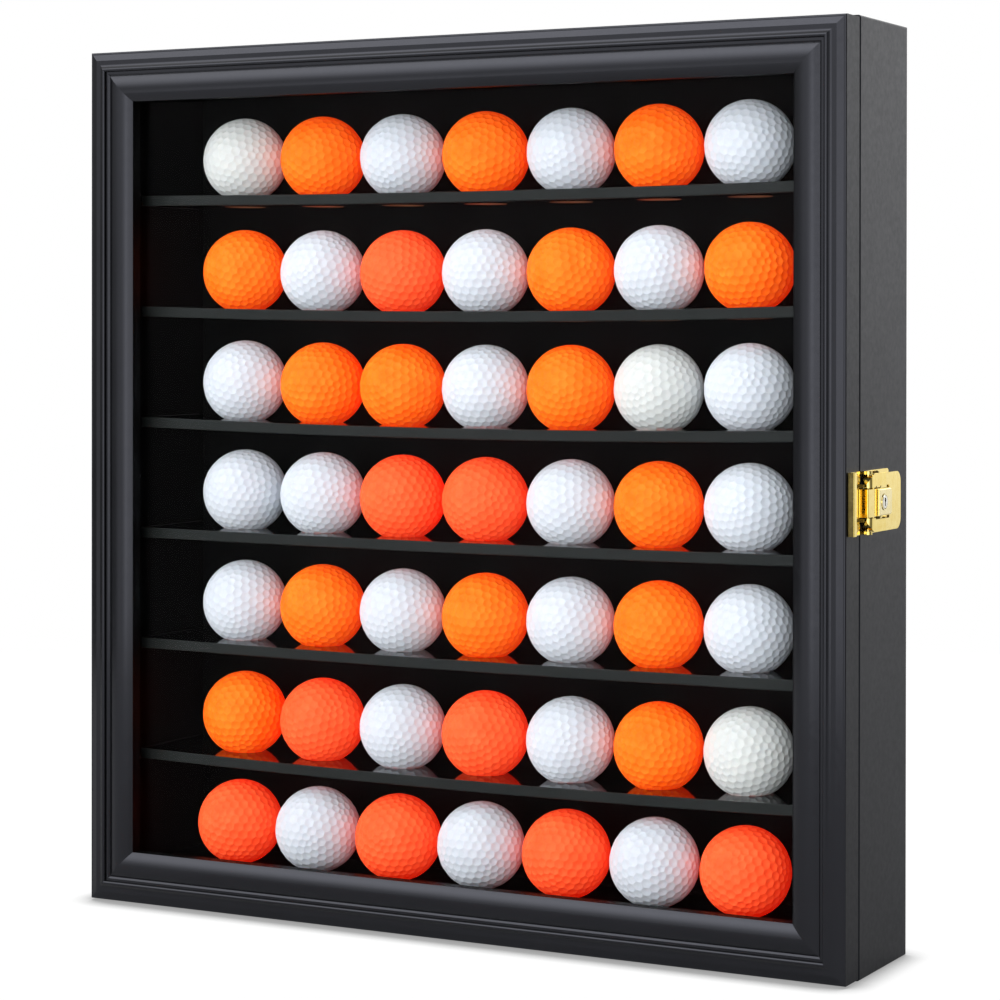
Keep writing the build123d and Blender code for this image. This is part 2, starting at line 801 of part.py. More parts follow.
def lock_housing():
    """The raised pad, seated on the lever over its bend, with the lock's barrel below it."""
    outline = [(out(lever_face(pad_start_back)), back(pad_start_back)),
               (out(lever_out + pad_rise), back(pad_start_back)),
               (out(lever_out + pad_rise), back(pad_end_back)), (out(lever_out), back(pad_end_back)),
               (out(lever_out), back(lever_bend_back))]
    pad = slab(outline, latch_height - pad_half_height, latch_height + pad_half_height)
    pad = fillet(pad.edges().filter_by(Axis.X).sort_by(Axis.Y)[-2:], pad_corner)
    pad = fillet(pad.faces().sort_by(Axis.X)[-1].edges(), pad_rise / 2)
    y, z = lock_centre[1:]
    barrel = rod((out(lock_barrel_end_out), y, z), (1, 0, 0), lock_radius + lock_barrel_wall,
                 lever_out + pad_rise / 2 - lock_barrel_end_out)
    rim = rod((out(lever_out), y, z), (1, 0, 0), lock_radius + lock_barrel_wall / 2,
              pad_rise + lock_rim_rise)
    bore = rod((half_width, y, z), (1, 0, 0), lock_radius + pin_clearance, 2 * lever_out)
    return pad + barrel + rim - bore


def lock_cylinder():
    """The key plug: a keyway in its face and a cam on its inner end."""
    y, z = lock_centre[1:]
    face = lever_out + pad_rise + lock_proud
    plug = rod((out(cam_out + cam_thickness), y, z), (1, 0, 0), lock_radius,
               face - cam_out - cam_thickness)
    plug = chamfer(plug.edges().sort_by(Axis.X)[-1:], lock_face_bevel)
    plug -= block((out(face - keyway_depth), out(face + 1)), (y - keyway_width / 2, y + keyway_width / 2),
                  (z - keyway_height / 2, z + keyway_height / 2))
    plug -= rod((out(face - keyway_depth), y, z + keyway_height / 4), (1, 0, 0),
                keyway_width, 2 * keyway_depth)
    cam = block((out(cam_out), out(cam_out + cam_thickness)), (y - cam_half_width, y + cam_length),
                (z - cam_half_width, z + cam_half_width))
    return plug + cam


def latch_hook():
    """A plate in the lever's window, flush with its knuckle, its nose turned in over the strike."""
    low = latch_height - hook_half_height
    high = latch_height + hook_half_height
    nose_front = back(-hook_nose_ahead)
    nose_rear = nose_front + hook_nose_sheet
    outer = hook_pivot_out + hook_knuckle_radius
    inner = outer - hook_sheet
    outline = [(out(strike_plate + hook_nose_gap), nose_front), (out(outer), nose_front),
               (out(outer), hook_axis[1]), (out(inner), hook_axis[1]), (out(inner), nose_rear),
               (out(strike_plate + hook_nose_gap), nose_rear)]
    hook = slab(outline, low, high)
    nose_corner = hook.edges().filter_by(Axis.Z).group_by(Axis.Y)[0].sort_by(Axis.X)[-1:]
    hook = fillet(nose_corner, hook_corner)
    hook += upright_rod(hook_axis, hook_knuckle_radius, low, high)
    hook -= upright_rod(hook_axis, hook_pin_radius + pin_clearance, low - 1, high + 1)
    return hook


def lever_pin():
    return upright_rod(lever_axis, lever_pin_radius, latch_height - base_half_height,
                       latch_height + base_half_height)


def hook_pin():
    reach = window_half_height + slot_width / 2 + hook_boss_height
    return upright_rod(hook_axis, hook_pin_radius, latch_height - reach, latch_height + reach)


# ---------------------------------------------------------------- all the pieces
def all_parts():
    parts = {
        "left_side_panel": side_panel(-1),
        "right_side_panel": side_panel(1),
        "top_panel": level_panel(inner_top),
        "bottom_panel": level_panel(0, seats=True),
        "back_panel": back_panel(),
        "corner_dowels": corner_dowels(),
        "back_panel_nails": back_panel_nails(),
        "hanger_plates": hanger_plates(),
        "hanger_screws": hanger_screws(),
        "door_bumpers": door_bumpers(),
        "golf_balls_white": golf_balls("W"),
        "golf_balls_orange": golf_balls("O"),
        "golf_balls_red": golf_balls("R"),
        "mitre_splines": mitre_splines(),
        "acrylic_pane": acrylic_pane(),
        "retainer_nails": retainer_nails(),
        "hinge_cabinet_screws": hinge_screws("cabinet"),
        "hinge_door_screws": hinge_screws("door"),
        "latch_strike": latch_strike(),
        "strike_screws": group([screw(seat, (1, 0, 0)) for seat in strike_screw_seats()]),
        "latch_base_plate": latch_base_plate(),
        "latch_base_screws": group([screw(seat, (1, 0, 0), head_height=base_screw_head_height)
                                    for seat in base_screw_seats()]),
        "lever_pin": lever_pin(),
        "latch_lever": latch_lever(),
        "lock_housing": lock_housing(),
        "lock_cylinder": lock_cylinder(),
        "latch_hook": latch_hook(),
        "hook_pin": hook_pin(),
    }
    for number, top in enumerate(reversed(shelf_tops), start=1):
        parts[f"shelf_{number}"] = shelf(top)
    for name in frame_places():
        parts[name] = door_bar(name)
    for name in retainer_places():
        parts[name] = pane_retainer(name)
    for place, middle in hinge_heights.items():
        parts[f"{place}_hinge_cabinet_leaf"] = hinge_leaf("cabinet", middle)
        parts[f"{place}_hinge_door_leaf"] = hinge_leaf("door", middle)
        parts[f"{place}_hinge_pin"] = hinge_pin(middle)
    return parts


os.makedirs("parts", exist_ok=True)
for name, shape in all_parts().items():
    export_step(shape, f"parts/{name}.step")
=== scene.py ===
"""Looks of a golf ball display case: lacquered cabinet, mitred moulding, sagging shelves and 49 balls.

Every length is in metres, in the same frame as the CAD: +Z up, the door faces -Y.
"""
import math
import random

import bmesh
import bpy
from mathutils import Matrix, Quaternion, Vector


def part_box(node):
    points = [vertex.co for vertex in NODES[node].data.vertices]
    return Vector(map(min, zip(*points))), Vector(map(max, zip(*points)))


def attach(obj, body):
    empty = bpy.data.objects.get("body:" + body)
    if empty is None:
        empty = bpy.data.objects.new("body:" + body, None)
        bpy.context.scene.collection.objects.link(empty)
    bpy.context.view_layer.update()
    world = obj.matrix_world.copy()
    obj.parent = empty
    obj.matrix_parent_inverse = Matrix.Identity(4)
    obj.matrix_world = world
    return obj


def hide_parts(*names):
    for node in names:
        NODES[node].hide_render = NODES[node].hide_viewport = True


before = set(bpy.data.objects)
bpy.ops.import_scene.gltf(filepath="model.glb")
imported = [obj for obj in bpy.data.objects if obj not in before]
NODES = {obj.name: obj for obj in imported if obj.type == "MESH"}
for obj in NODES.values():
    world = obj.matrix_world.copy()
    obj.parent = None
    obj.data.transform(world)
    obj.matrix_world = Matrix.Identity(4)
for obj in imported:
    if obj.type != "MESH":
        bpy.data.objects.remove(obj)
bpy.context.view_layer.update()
HALF_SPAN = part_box("right_side_panel")[0].x     # the side panels' inner faces

# ---------------------------------------------------------------- driving values
# Camera: a level view with its centre line above the middle of the frame.
CAMERA_PLACE = (0.6559, -1.2187, 0.2942)
CAMERA_YAW = math.radians(28.072)
CAMERA_PITCH = math.radians(-0.260)
CAMERA_ROLL = math.radians(-0.056)
SENSOR = 36.0                # mm
FOCAL_PIXELS = 2838.3
FRAME_PIXELS = 1000
CENTRE_ROW = 332.8           # pixel row of the camera's centre line

# Golf balls
BALL_RADIUS = 0.04267 / 2
DIMPLE_FREQUENCY = 6         # dimple centres lie on an icosahedron's faces, divided this finely
DIMPLE_DEPTH = 0.00045
COLOURED_DIMPLE_DEPTH = 0.00062       # the coloured balls show theirs as clearly in the photo
DIMPLE_SPREAD = 0.93         # dimple radius over its cell's
DIMPLE_ROUNDNESS = 0.55      # 0 is a hexagonal dimple, 1 a round one
DIMPLE_RINGS = (1.0, 0.86, 0.6, 0.3)        # rings of points from a dimple's rim inwards
BALL_SEED = 11
TURN_REACH = 1.5             # a turned ball's own box reaches at most this many radii to the back
COLUMNS = 7
GREYER_BALLS = {(7, 1), (5, 6), (2, 7)}     # row from the bottom, column from the left

# Shelves
SHELF_SAGS = {"shelf_1": 0.0016, "shelf_2": 0.0027, "shelf_3": 0.0026,      # at mid span
              "shelf_4": 0.0010, "shelf_5": 0.0011, "shelf_6": 0.0022}
SHELF_CUTS = 40              # slices that let a shelf bend
SHELF_EDGE_ROUND = 0.0004
HOUSING_REACH = 0.0045       # a little deeper than a shelf's housing in the side panels
SEAT_REACH = 0.0112          # a little more than a seat hole's radius

# Latch: where its painted shade goes
LEVER_RIM = 0.002            # faces further in than this from the lever's ends belong to its slots
LOCK_BORE = 0.0048           # a little more than the radius of the lock's bore

# Which faces a finish or a painted shade goes on
FLAT = 0.95                  # least share of a face's normal along the direction that it faces
TOUCHING = 1e-5

# Stage. A softbox is azimuth, elevation, distance, width, height and radiance, and a glow is
# azimuth, elevation, sharpness and peak radiance, with angles in degrees.
KEY_SOFTBOX = (-3, 4, 1.6, 1.6, 1.6, 2.05)
REAR_SOFTBOX = (150, 54, 1.05, 1.0, 0.6, 1.5)
HIGH_GLOW = (-30, 42, 6, 3.1)
LOW_GLOW = (-30, -18, 30, 1.1)
LEVEL_GLOW = (25, 0, 7, 3.0)
MIDDLE_HEIGHT = 0.215        # what the softboxes look at
FLOOR_RADIUS = 1.2
FLOOR_GREY = 0.4
FLOOR_WHITENESS = 0.82       # share of the floor that shows its own even white to the camera
# The contact shadow is painted into the floor's white by an occlusion test
CONTACT_SHADOW = 0.014       # reach of the dark line where the case meets the floor

SHELVES = list(SHELF_SAGS)   # from the top down
BALL_NODES = {"white": "golf_balls_white", "orange": "golf_balls_orange", "red": "golf_balls_red"}


# ---------------------------------------------------------------- materials
def new_material(name, **sockets):
    """A Principled material. Socket names have _ for each space."""
    material = bpy.data.materials.new(name)
    material.use_nodes = True
    shader = material.node_tree.nodes["Principled BSDF"]
    for socket, value in sockets.items():
        shader.inputs[socket.replace("_", " ")].default_value = value
    return material, material.node_tree, shader


def noise(tree, scale, detail=3.0, stretch=(1, 1, 1)):
    """A noise pattern in the object's own metres: scale is in cycles per metre."""
    coordinates = tree.nodes.new("ShaderNodeTexCoord")
    mapping = tree.nodes.new("ShaderNodeMapping")
    mapping.inputs["Scale"].default_value = stretch
    texture = tree.nodes.new("ShaderNodeTexNoise")
    texture.inputs["Scale"].default_value = scale
    texture.inputs["Detail"].default_value = detail
    tree.links.new(coordinates.outputs["Object"], mapping.inputs["Vector"])
    tree.links.new(mapping.outputs["Vector"], texture.inputs["Vector"])
    return texture.outputs["Fac"]


def spread(tree, factor, low, high, start=0.3, end=0.7):
    """factor from start to end, as a number from low to high."""
    mapped = tree.nodes.new("ShaderNodeMapRange")
    mapped.inputs["From Min"].default_value = start
    mapped.inputs["From Max"].default_value = end
    mapped.inputs["To Min"].default_value = low
    mapped.inputs["To Max"].default_value = high
    tree.links.new(factor, mapped.inputs["Value"])
    return mapped.outputs["Result"]


def product(tree, first, second):
    node = tree.nodes.new("ShaderNodeMath")
    node.operation = "MULTIPLY"
    tree.links.new(first, node.inputs[0])
    tree.links.new(second, node.inputs[1])
    return node.outputs["Value"]


def tint(tree, factor, dark, light):
    """A colour between dark and light by factor."""
    ramp = tree.nodes.new("ShaderNodeValToRGB")
    ramp.color_ramp.elements[0].position = 0.35
    ramp.color_ramp.elements[0].color = (*dark, 1)
    ramp.color_ramp.elements[1].position = 0.65
    ramp.color_ramp.elements[1].color = (*light, 1)
    tree.links.new(factor, ramp.inputs["Fac"])
    return ramp.outputs["Color"]


def bump(tree, shader, height, distance, before=None):
    """Raises the surface by height times distance, on top of an earlier bump."""
    node = tree.nodes.new("ShaderNodeBump")
    node.inputs["Distance"].default_value = distance
    tree.links.new(height, node.inputs["Height"])
    if before is not None:
        tree.links.new(before, node.inputs["Normal"])
    tree.links.new(node.outputs["Normal"], shader.inputs["Normal"])
    return node.outputs["Normal"]


def lacquer(name, dark, light, roughness, peel, grain=0.0, gloss=0.5, painted_reflection_tint=(0.90, 0.92, 1, 1)):
    """Black paint on board: soft orange peel, faint cloudiness and, where asked, board grain. Its reflections
    take a bluish tint, a painted colour of light.
    """
    material, tree, shader = new_material(name, Specular_IOR_Level=gloss, Specular_Tint=painted_reflection_tint)
    cloud = noise(tree, 26, 4)
    fine = noise(tree, 420, 3)
    tree.links.new(tint(tree, cloud, dark, light), shader.inputs["Base Color"])
    tree.links.new(spread(tree, fine, roughness - 0.04, roughness + 0.04), shader.inputs["Roughness"])
    normal = bump(tree, shader, noise(tree, 700, 2), peel)
    if grain:
        normal = bump(tree, shader, noise(tree, 1500, 2, (1, 1, 0.06)), grain, normal)
    return material


def raw_board():
    """Bare brown fibreboard, as inside the shelf holes."""
    material, tree, shader = new_material("raw_board", Specular_IOR_Level=0.25)
    fibre = noise(tree, 1400, 4, (1, 1, 3))
    tree.links.new(tint(tree, fibre, (0.20, 0.085, 0.038), (0.36, 0.17, 0.085)),
                   shader.inputs["Base Color"])
    tree.links.new(spread(tree, fibre, 0.95, 0.8), shader.inputs["Roughness"])
    bump(tree, shader, fibre, 0.0002)
    return material


def bare_wood():
    material, tree, shader = new_material("bare_beech", Specular_IOR_Level=0.3)
    grain = noise(tree, 500, 4, (0.1, 1, 1))
    tree.links.new(tint(tree, grain, (0.42, 0.26, 0.13), (0.62, 0.43, 0.25)),
                   shader.inputs["Base Color"])
    tree.links.new(spread(tree, grain, 0.7, 0.55), shader.inputs["Roughness"])
    bump(tree, shader, grain, 0.00008)
    return material


def polished_brass(name, dark, light, roughness, peel):
    """Plated brass: slight waves from stamping and a faint brushed haze."""
    material, tree, shader = new_material(name, Metallic=1.0)
    haze = noise(tree, 340, 4)
    tree.links.new(tint(tree, haze, dark, light), shader.inputs["Base Color"])
    tree.links.new(spread(tree, noise(tree, 900, 3, (1, 0.15, 1)), roughness * 0.6, roughness * 1.5),
                   shader.inputs["Roughness"])
    bump(tree, shader, noise(tree, 260, 2), peel)
    return material


def bright_steel():
    material, tree, shader = new_material("bright_steel", Metallic=1.0)
    haze = noise(tree, 600, 3)
    tree.links.new(tint(tree, haze, (0.42, 0.42, 0.43), (0.6, 0.6, 0.61)), shader.inputs["Base Color"])
    tree.links.new(spread(tree, haze, 0.22, 0.38), shader.inputs["Roughness"])
    bump(tree, shader, haze, 0.00003)
    return material


def felt():
    material, tree, shader = new_material("black_felt", Sheen_Weight=0.4, Specular_IOR_Level=0.1)
    pile = noise(tree, 2600, 4)
    tree.links.new(tint(tree, pile, (0.008, 0.008, 0.008), (0.03, 0.03, 0.031)),
                   shader.inputs["Base Color"])
    tree.links.new(spread(tree, pile, 1.0, 0.85), shader.inputs["Roughness"])
    bump(tree, shader, pile, 0.0003)
    return material


def clear_acrylic():
    """A low-glare pane: clear, with a weak mirror that grows towards grazing angles."""
    material = bpy.data.materials.new("clear_acrylic")
    material.use_nodes = True
    tree = material.node_tree
    tree.nodes.remove(tree.nodes["Principled BSDF"])
    clear = tree.nodes.new("ShaderNodeBsdfTransparent")
    clear.inputs["Color"].default_value = (0.985, 0.99, 0.99, 1)
    mirror = tree.nodes.new("ShaderNodeBsdfGlossy")
    mirror.inputs["Roughness"].default_value = 0.02
    fresnel = tree.nodes.new("ShaderNodeFresnel")
    fresnel.inputs["IOR"].default_value = 1.1
    mix = tree.nodes.new("ShaderNodeMixShader")
    tree.links.new(fresnel.outputs["Fac"], mix.inputs["Fac"])
    tree.links.new(clear.outputs["BSDF"], mix.inputs[1])
    tree.links.new(mirror.outputs["BSDF"], mix.inputs[2])
    tree.links.new(mix.outputs["Shader"], tree.nodes["Material Output"].inputs["Surface"])
    return material


def ball_cover(name, dark, light, roughness, gloss=0.5, coat=0.2, evenness=1.0, glow=(0, 0, 0, 1),
               painted_glow_strength=0.0):
    """Moulded ionomer: a faint cloudiness and fine scuffs. A fluorescent cover's red emission is painted
    light: it stands in for fluorescence and glows even where no lamp reaches.
    """
    material, tree, shader = new_material(
        name, Specular_IOR_Level=gloss, Coat_Weight=coat, Coat_Roughness=0.18, Subsurface_Weight=0.08,
        Subsurface_Radius=(0.0012, 0.0008, 0.0006), Subsurface_Scale=1.0, Diffuse_Roughness=evenness,
        Emission_Color=glow, Emission_Strength=painted_glow_strength)
    cloud = noise(tree, 120, 3)
    scuff = noise(tree, 900, 4)
    tree.links.new(tint(tree, cloud, dark, light), shader.inputs["Base Color"])
    tree.links.new(spread(tree, scuff, roughness - 0.06, roughness + 0.08), shader.inputs["Roughness"])
    bump(tree, shader, scuff, 0.00002)
    return material


MATERIALS = {
    # The bluish tints of the lacquers' reflections are a painted colour of light
    "case": lacquer("case_lacquer", (0.0085, 0.0088, 0.0108), (0.0110, 0.0114, 0.0138), 0.40, 0.000010,
                    0.000002, gloss=0.175, painted_reflection_tint=(0.80, 0.83, 1.0, 1)),
    "door": lacquer("door_lacquer", (0.0042, 0.0044, 0.0052), (0.0054, 0.0057, 0.0067), 0.17, 0.000002,
                    painted_reflection_tint=(0.84, 0.86, 1.0, 1)),
    "door_side": lacquer("door_side_lacquer", (0.0072, 0.0075, 0.0092), (0.0092, 0.0096, 0.0118), 0.42,
                         0.000008, gloss=0.15, painted_reflection_tint=(0.80, 0.83, 1.0, 1)),
    # The inside's black is the case's lacquer made several times darker: painted shade inside the case, on
    # the door bars' inward faces and on the pane's retainers
    "inside": lacquer("inside_painted_shade", (0.0012, 0.0012, 0.0012), (0.002, 0.002, 0.002), 0.5, 0.00001,
                      gloss=0.06),
    "shelf": lacquer("shelf_lacquer", (0.0012, 0.0012, 0.0012), (0.002, 0.002, 0.002), 0.07, 0.000002,
                     gloss=0.5),
    "shelf_edge": lacquer("shelf_edge_paint", (0.0105, 0.0130, 0.0120), (0.0135, 0.0160, 0.0150), 0.55,
                          0.00002, gloss=0.25),
    "raw_board": raw_board(),
    "bare_wood": bare_wood(),
    "brass": polished_brass("polished_brass", (0.93, 0.71, 0.20), (0.98, 0.79, 0.27), 0.10, 0.000006),
    "lock_brass": polished_brass("lock_brass", (0.90, 0.76, 0.36), (0.95, 0.83, 0.46), 0.16, 0.000006),
    # Dark brass that paints shade into the latch's slots, the lever's underside and the lock's bore, and
    # paints a dark reflection on the strike's front
    "painted_shade_brass": polished_brass("painted_shade_brass", (0.13, 0.10, 0.034), (0.20, 0.155, 0.055), 0.45, 0.00001),
    "nickel": polished_brass("nickel_plate", (0.78, 0.76, 0.66), (0.88, 0.86, 0.78), 0.2, 0.000006),
    "steel": bright_steel(),
    "dark_steel": lacquer("dark_steel", (0.004, 0.004, 0.004), (0.008, 0.008, 0.008), 0.4, 0.00001),
    "felt": felt(),
    "acrylic": clear_acrylic(),
    "white": ball_cover("ball_white", (0.77, 0.81, 0.88), (0.81, 0.85, 0.92), 0.36, evenness=0.8),
    "grey": ball_cover("ball_grey_white", (0.79, 0.81, 0.81), (0.82, 0.84, 0.83), 0.33, evenness=0.8),
    # Orange and red: the red emission is painted light, a glow in place of fluorescence that also reddens
    # their shaded sides
    "orange": ball_cover("ball_orange", (1.0, 0.206, 0.008), (1.0, 0.268, 0.017), 0.55, 0.15, 0.0, 0.2,
                         (1.0, 0.01, 0.0, 1), 0.5),
    "red": ball_cover("ball_red", (1.0, 0.141, 0.036), (1.0, 0.177, 0.049), 0.55, 0.15, 0.0, 0.2,
                      (1.0, 0.005, 0.0, 1), 0.5),
}

CAD_FINISHES = {
    "case": ("left_side_panel", "right_side_panel", "top_panel", "bottom_panel", "back_panel"),
    "door": ("door_left_stile", "door_right_stile", "door_top_rail", "door_bottom_rail"),
    # The pane's retainers take the inside's painted shade
    "inside": ("pane_retainer_bottom", "pane_retainer_top", "pane_retainer_left",
               "pane_retainer_right"),
    "bare_wood": ("corner_dowels", "mitre_splines"),
    "acrylic": ("acrylic_pane",),
    "felt": ("door_bumpers",),
    "steel": ("back_panel_nails", "hanger_plates", "hanger_screws"),
    "dark_steel": ("retainer_nails",),
    "lock_brass": ("lock_housing",),
    "nickel": ("lock_cylinder",),
    "brass": ("upper_hinge_cabinet_leaf", "lower_hinge_cabinet_leaf", "upper_hinge_door_leaf",
              "lower_hinge_door_leaf", "upper_hinge_pin", "lower_hinge_pin", "hinge_cabinet_screws",
              "hinge_door_screws", "latch_strike", "strike_screws", "latch_base_plate",
              "latch_base_screws", "lever_pin", "latch_lever", "hook_pin", "latch_hook"),
}


def finish_cad_nodes():
    for finish, names in CAD_FINISHES.items():
        for name in names:
            for slot in NODES[name].material_slots:
                slot.material = MATERIALS[finish]


def paint(name, finish, chosen):
    """Gives the faces of a CAD node that chosen(centre, normal) picks a finish of their own, or a painted
    shade.
    """
    mesh = NODES[name].data
    mesh.materials.append(MATERIALS[finish])
    number = len(mesh.materials) - 1
    for face in mesh.polygons:
        if chosen(face.center, face.normal):
            face.material_index = number


def paint_faces():
    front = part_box("left_side_panel")[0].y

    # Faces inside the case take the inside's painted shade
    def inside(centre, normal):
        return abs(centre.x) < HALF_SPAN + HOUSING_REACH and centre.y > front + TOUCHING

    paint("left_side_panel", "inside", inside)
    paint("right_side_panel", "inside", inside)
    paint("top_panel", "inside", lambda c, n: n.z < -0.5)
    paint("bottom_panel", "inside", lambda c, n: n.z > 0.1)
    paint("back_panel", "inside", lambda c, n: n.y < -0.5)
    for bar, outward in (("door_left_stile", (-1, 0, 0)), ("door_right_stile", (1, 0, 0)),
                         ("door_top_rail", (0, 0, 1)), ("door_bottom_rail", (0, 0, -1))):
        paint(bar, "door_side", lambda c, n: n.dot(Vector(outward)) > FLAT or n.y > FLAT)
        # The door bars' inward faces take the inside's painted shade
        paint(bar, "inside", lambda c, n: n.dot(Vector(outward)) < -FLAT)
    # Painted shade and a painted dark reflection in dark brass: the strike's front, the lever's underside and
    # slot walls, and the lock's bore
    paint("latch_strike", "painted_shade_brass", lambda c, n: n.y < -0.9)
    low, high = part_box("latch_lever")
    lock = sum(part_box("lock_cylinder"), Vector()) / 2
    paint("latch_lever", "painted_shade_brass", lambda c, n: n.x < -0.3 or (
        abs(n.z) > 0.9 and low.z + LEVER_RIM < c.z < high.z - LEVER_RIM))
    paint("lock_housing", "painted_shade_brass", lambda c, n: math.hypot(
        c.y - lock.y, c.z - lock.z) < LOCK_BORE and abs(n.x) < 0.5)


# ---------------------------------------------------------------- meshes
def new_object(name, mesh, *materials):
    piece = bpy.data.objects.new(name, mesh)
    bpy.context.scene.collection.objects.link(piece)
    for material in materials:
        mesh.materials.append(material)
    return piece


def sag(node, x):
    """How far a shelf hangs down at x, between the side panels."""
    return SHELF_SAGS[node] * max(0.0, 1 - (x / HALF_SPAN) ** 2)


def sagging_shelf(node, column_xs, seat_line):
    """The shelf board bent under its balls, with painted edges and bare holes."""
    low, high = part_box(node)
    bm = bmesh.new()
    bm.from_mesh(NODES[node].data)
    bmesh.ops.remove_doubles(bm, verts=bm.verts, dist=1e-6)
    bmesh.ops.dissolve_limit(bm, angle_limit=math.radians(1), verts=bm.verts, edges=bm.edges)
    long_front = [e for e in bm.edges if abs(e.verts[0].co.x - e.verts[1].co.x) > 0.1
                  and max(v.co.y for v in e.verts) < low.y + TOUCHING]
    bmesh.ops.bevel(bm, geom=long_front, offset=SHELF_EDGE_ROUND, segments=2, profile=0.5, affect="EDGES")
    for i in range(1, SHELF_CUTS):
        place = (low.x + (high.x - low.x) * i / SHELF_CUTS, 0, 0)
        bmesh.ops.bisect_plane(bm, geom=bm.verts[:] + bm.edges[:] + bm.faces[:],
                               plane_co=place, plane_no=(1, 0, 0))
    for face in bm.faces:
        centre = face.calc_center_median()
        wall = abs(face.normal.z) < 0.5
        in_hole = any(math.hypot(centre.x - x, centre.y - seat_line) < SEAT_REACH for x in column_xs)
        face.material_index = 1 if wall and in_hole else 2 if face.normal.y < -0.3 else 0
        face.smooth = wall and in_hole
    for vertex in bm.verts:
        vertex.co.z -= sag(node, vertex.co.x)
    bmesh.ops.triangulate(bm, faces=[f for f in bm.faces if len(f.verts) > 4])
    mesh = bpy.data.meshes.new(f"{node}_board")
    bm.to_mesh(mesh)
    bm.free()
    piece = new_object(f"{node}_board", mesh, MATERIALS["shelf"], MATERIALS["raw_board"],
                       MATERIALS["shelf_edge"])
    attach(piece, "cabinet")
    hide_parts(node)


def icosahedron():
    """Corners and faces of an icosahedron, all corners at length 1."""
    golden = (1 + math.sqrt(5)) / 2
    corners = [Vector(corner).normalized() for corner in (
        (-1, golden, 0), (1, golden, 0), (-1, -golden, 0), (1, -golden, 0),
        (0, -1, golden), (0, 1, golden), (0, -1, -golden), (0, 1, -golden),
        (golden, 0, -1), (golden, 0, 1), (-golden, 0, -1), (-golden, 0, 1))]
    edge = min((corners[0] - other).length for other in corners[1:])
    faces = [(a, b, c) for a in range(12) for b in range(a + 1, 12) for c in range(b + 1, 12)
             if max((corners[a] - corners[b]).length, (corners[b] - corners[c]).length,
                    (corners[c] - corners[a]).length) < 1.01 * edge]
    return corners, faces


def dimple_grid():
    """Dimple centres on a unit sphere, and the small triangles that join neighbours."""
    corners, faces = icosahedron()
    centres = []
    index_of = {}

    def index(point):
        key = tuple(round(part, 5) for part in point)
        if key not in index_of:
            index_of[key] = len(centres)
            centres.append(point)
        return index_of[key]

    triangles = []
    n = DIMPLE_FREQUENCY
    for a, b, c in faces:
        grid = {(i, j): index(((corners[a] * (n - i - j) + corners[b] * i + corners[c] * j) / n).normalized())
                for i in range(n + 1) for j in range(n + 1 - i)}
        for i in range(n):
            for j in range(n - i):
                triangles.append((grid[i, j], grid[i + 1, j], grid[i, j + 1]))
                if i + j < n - 1:
                    triangles.append((grid[i + 1, j], grid[i + 1, j + 1], grid[i, j + 1]))
    return centres, triangles


def dimpled_ball(depth):
    """A golf ball's mesh: each dimple is a rounded hexagon of rings, with thin lands between."""
    centres, triangles = dimple_grid()
    cells = [[] for _ in centres]
    for number, triangle in enumerate(triangles):
        for centre in triangle:
            cells[centre].append(number)
    bm = bmesh.new()
    shared = {}

    def land_vertex(key, point):
        if key not in shared:
            shared[key] = bm.verts.new(point.normalized() * BALL_RADIUS)
        return shared[key]

    middles = [sum((centres[i] for i in triangle), Vector()).normalized() for triangle in triangles]
    for centre, cell in zip(centres, cells):
        side = centre.orthogonal().normalized()
        up = centre.cross(side)
        cell.sort(key=lambda number: math.atan2(middles[number].dot(up), middles[number].dot(side)))
        land = []
        for first, second in zip(cell, cell[1:] + cell[:1]):
            land.append(land_vertex(first, middles[first]))
            land.append(land_vertex(tuple(sorted((first, second))), middles[first] + middles[second]))
        offsets = [vertex.co.normalized() - centre for vertex in land]
        mean = sum(offset.length for offset in offsets) / len(offsets)
        rings = [land]
        for share in DIMPLE_RINGS:
            ring = []
            for offset in offsets:
                length = DIMPLE_ROUNDNESS * mean + (1 - DIMPLE_ROUNDNESS) * offset.length
                length *= DIMPLE_SPREAD * share
                point = (centre + offset.normalized() * length).normalized()
                ring.append(bm.verts.new(point * (BALL_RADIUS - depth * (1 - share ** 2))))
            rings.append(ring)
        hub = bm.verts.new(centre * (BALL_RADIUS - depth))
        count = len(land)
        for outer, inner in zip(rings, rings[1:]):
            for i in range(count):
                j = (i + 1) % count
                bm.faces.new((outer[i], outer[j], inner[j], inner[i]))
        for i in range(count):
            bm.faces.new((rings[-1][i], rings[-1][(i + 1) % count], hub))
    bmesh.ops.recalc_face_normals(bm, faces=bm.faces)
    for face in bm.faces:
        face.smooth = True
    mesh = bpy.data.meshes.new("dimpled_ball")
    bm.to_mesh(mesh)
    bm.free()
    return mesh


def ball_places():
    """{(row, column): (centre, colour)} from the CAD balls. Rows count from the bottom."""
    undersides = sorted(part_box(node)[0].z for node in SHELVES)
    points = {}
    width = max(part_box(node)[1].x for node in BALL_NODES.values())
    pitch = 2 * (width - BALL_RADIUS) / (COLUMNS - 1)
    for colour, node in BALL_NODES.items():
        for vertex in NODES[node].data.vertices:
            row = 1 + sum(vertex.co.z > under for under in undersides)
            column = round(vertex.co.x / pitch) + (COLUMNS + 1) // 2
            points.setdefault((row, column, colour), []).append(vertex.co)
    places = {}
    for (row, column, colour), found in points.items():
        low = Vector([min(point[axis] for point in found) for axis in range(3)])
        high = Vector([max(point[axis] for point in found) for axis in range(3)])
        places[row, column] = ((low + high) / 2, colour)
    return places


def ball_turn(draw):
    """A random attitude, whose turned box keeps the corners inside the case's depth."""
    while True:
        turn = Quaternion([draw.gauss(0, 1) for _ in range(4)]).normalized()
        if sum(abs(part) for part in turn.to_matrix()[1]) < TURN_REACH:
            return turn


